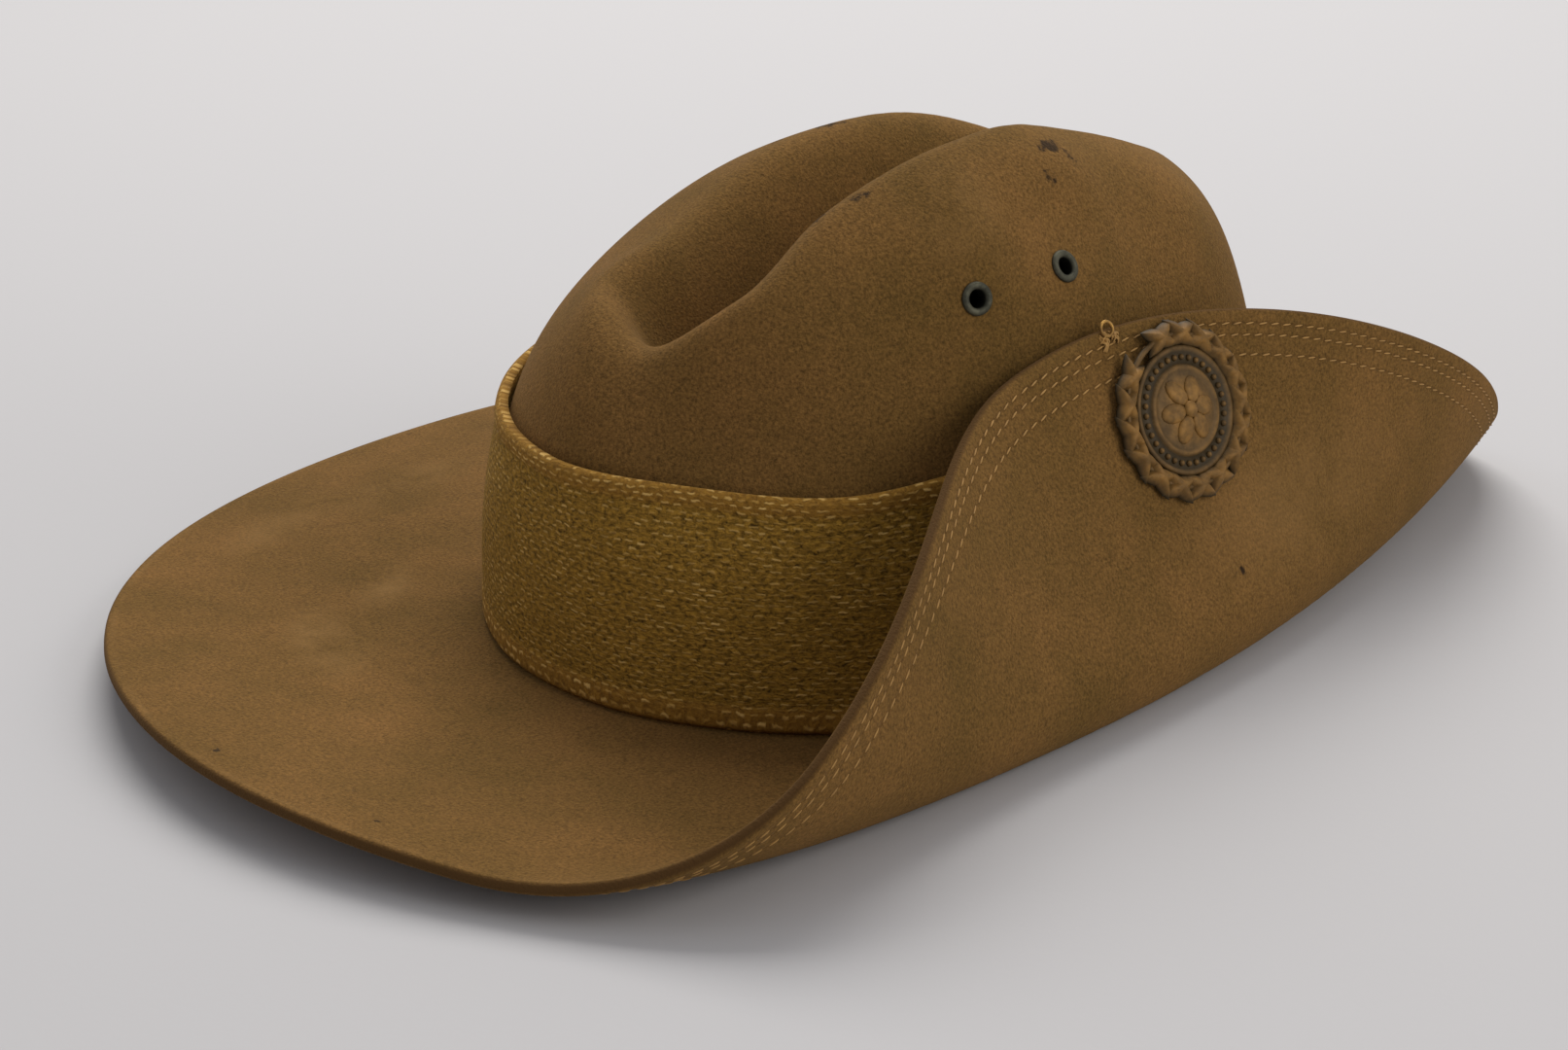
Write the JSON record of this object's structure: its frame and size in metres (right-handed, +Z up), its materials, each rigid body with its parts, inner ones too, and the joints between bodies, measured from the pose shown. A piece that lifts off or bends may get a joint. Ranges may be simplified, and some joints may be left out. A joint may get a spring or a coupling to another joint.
{
  "type": "slouch hat",
  "caption": "Felt slouch hat with a creased crown, a cloth band round the crown's foot, ventilation eyelets, and one side of the brim turned up against the crown with a metal badge on it.",
  "frame": {"origin": "middle of the hat's outline seen from above, on the flat underside that it rests on", "axes": "+Z up, -Y towards the front of the hat, +X towards the side of the brim that is turned up"},
  "size_m": [0.2868, 0.3822, 0.1212],
  "materials": {
    "felt": "brushed fur felt, khaki brown, mottled and rubbed",
    "band_cloth": "coarse twill, olive gold",
    "eyelet_metal": "tarnished grey-green bronze",
    "badge_metal": "oxidised brass, dark in the recesses",
    "hook_wire": "drawn brass wire"
  },
  "bodies": {
    "root": {"felt_body": "felt", "puggaree": "band_cloth", "eyelet_left_front": "eyelet_metal", "eyelet_left_rear": "eyelet_metal", "eyelet_right_front": "eyelet_metal", "eyelet_right_rear": "eyelet_metal", "badge": "badge_metal", "brim_hook": "hook_wire"}
  },
  "joints": []
}
